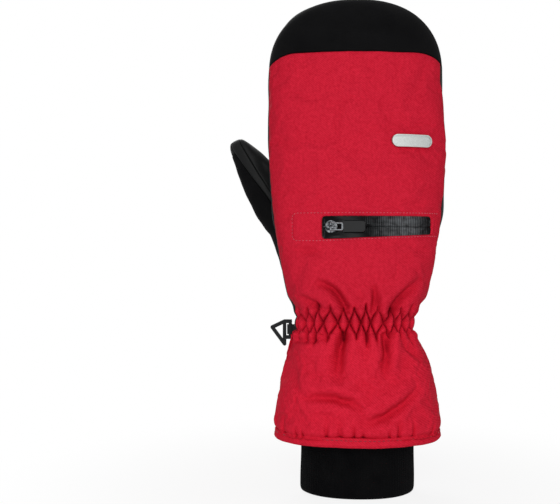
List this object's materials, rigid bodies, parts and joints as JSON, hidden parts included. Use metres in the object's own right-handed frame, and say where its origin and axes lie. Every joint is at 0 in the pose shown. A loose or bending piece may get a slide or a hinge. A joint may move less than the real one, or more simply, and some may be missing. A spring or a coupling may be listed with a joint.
{
  "type": "ski mitten",
  "caption": "Padded right-hand ski mitten with a zipped back pocket, gathered wrist, flared gauntlet over a knit cuff, set-in thumb and a swinging side clip.",
  "frame": {"origin": "centre of the knit cuff's opening, in the plane of its rim", "axes": "+Z along the fingers to the fingertips, +Y out of the palm, -Y out of the back of the hand, the thumb towards -X"},
  "size_m": [0.1547, 0.0874, 0.352],
  "materials": {
    "shell_red": "fine diagonal twill, matt with a slight sheen",
    "softshell_black": "matt softshell",
    "palm_leather": "fine-grained coated palm fabric, satin",
    "rib_knit": "vertical rib knit",
    "padding": "lofted fibre",
    "lining_fleece": "short fleece",
    "lining_cloth": "plain weave",
    "elastic_band": "woven elastic",
    "zip_tape": "coated tape, glossy",
    "zip_coil": "moulded coil",
    "zip_metal": "gunmetal plating",
    "pull_rubber": "matt rubber",
    "badge_silver": "satin silver",
    "webbing": "woven webbing",
    "clip_plastic": "moulded, satin"
  },
  "bodies": {
    "mitten": {"back_panel": "shell_red", "fingertip_cap": "softshell_black", "finger_wall_thumb_side": "palm_leather", "finger_wall_pinky_side": "palm_leather", "palm_upper": "palm_leather", "palm_lower": "palm_leather", "gauntlet_back": "shell_red", "gauntlet_palm": "shell_red", "gauntlet_lining": "lining_cloth", "cuff_hem": "shell_red", "wrist_elastic": "elastic_band", "knit_cuff": "rib_knit", "insulation_back": "padding", "insulation_palm": "padding", "hand_lining": "lining_fleece", "thumb_sleeve": "softshell_black", "pocket_bag": "lining_cloth", "zipper_tape_upper": "zip_tape", "zipper_tape_lower": "zip_tape", "zipper_coil_upper": "zip_coil", "zipper_coil_lower": "zip_coil", "zipper_stops": "zip_metal", "badge": "badge_silver", "hook_loop": "webbing"},
    "thumb": {"thumb_outer_panel": "softshell_black", "thumb_inner_panel": "palm_leather", "thumb_gusset": "palm_leather", "thumb_insulation": "padding", "thumb_lining": "lining_fleece"},
    "slider": {"zipper_slider": "zip_metal"},
    "puller": {"pull_frame": "zip_metal", "pull_tab": "pull_rubber"},
    "hook": {"pairing_hook": "clip_plastic"}
  },
  "joints": [
    {"name": "zip_travel", "type": "hinge", "parent": "mitten", "child": "slider", "pos_m": [0, 0.06113, 0.1885], "axis": [0, 0, 1], "range_deg": [0, 36.5]},
    {"name": "pull_swing", "type": "hinge", "parent": "slider", "child": "puller", "pos_m": [-0.02073, -0.0291, 0.1885], "axis": [0, 0, -1], "range_deg": [0, 165]},
    {"name": "hook_swing", "type": "hinge", "parent": "mitten", "child": "hook", "pos_m": [-0.048, 0, 0.1155], "axis": [0, 0, 1], "range_deg": [-75, 75]},
    {"name": "thumb_flex", "type": "hinge", "parent": "mitten", "child": "thumb", "pos_m": [-0.037, 0.02105, 0.161], "axis": [-0.4381, 0.8989, 0], "range_deg": [-12, 25], "stiffness_Nm_per_rad": 0.4, "deforming": ["thumb_sleeve"]}
  ]
}
